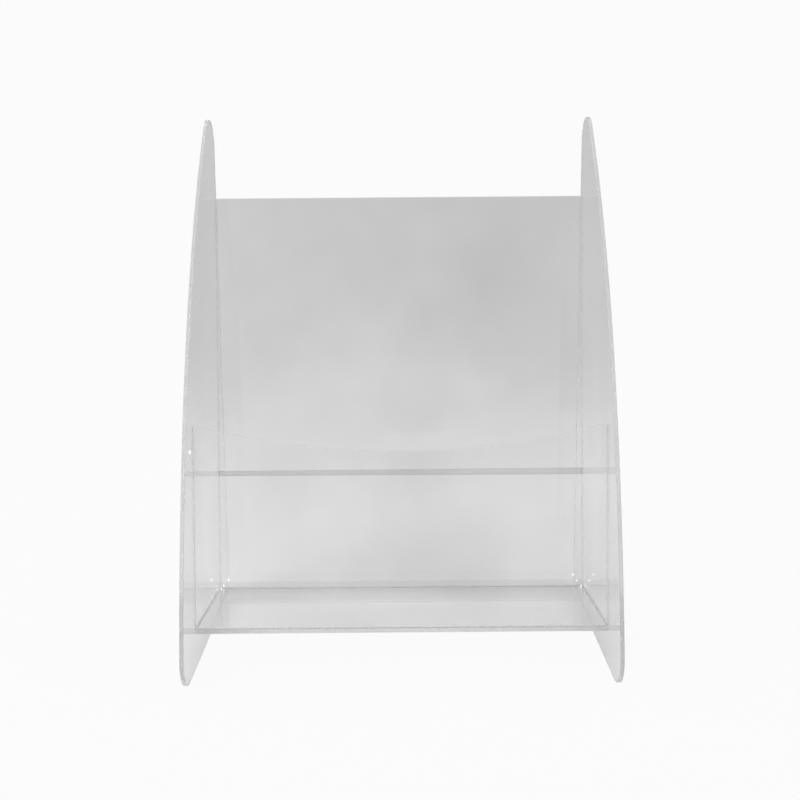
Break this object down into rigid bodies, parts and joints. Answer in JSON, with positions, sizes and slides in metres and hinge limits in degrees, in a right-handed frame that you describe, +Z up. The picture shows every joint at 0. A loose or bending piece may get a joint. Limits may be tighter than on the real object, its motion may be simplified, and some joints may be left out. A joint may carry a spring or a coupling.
{
  "type": "magazine rack",
  "caption": "Free-standing clear acrylic magazine rack: sail-shaped sides, a leaning back, a sloping pocket floor and an arched front lip.",
  "frame": {"origin": "on the ground, under the middle of the rack's box", "axes": "+X to the right as seen from the open front, across from side to side; +Z up; the open front with the low lip faces -Y"},
  "size_m": [0.311, 0.2224, 0.405],
  "materials": {
    "side_acrylic": "clear polished sheet with polished edges",
    "back_acrylic": "clear polished sheet",
    "floor_acrylic": "clear polished sheet",
    "front_acrylic": "clear polished sheet with a polished arched edge",
    "sawn_acrylic": "sawn, unpolished strip of the same sheet",
    "clear_cement": "clear solvent cement with small bubbles"
  },
  "bodies": {
    "root": {"side_left": "side_acrylic", "side_right": "side_acrylic", "back_panel": "back_acrylic", "floor_panel": "floor_acrylic", "front_panel": "front_acrylic", "back_rib": "sawn_acrylic", "cement_back_left": "clear_cement", "cement_back_right": "clear_cement", "cement_floor_back": "clear_cement", "cement_floor_front": "clear_cement", "cement_floor_left": "clear_cement", "cement_floor_right": "clear_cement", "cement_front_left": "clear_cement", "cement_front_right": "clear_cement"}
  },
  "joints": []
}
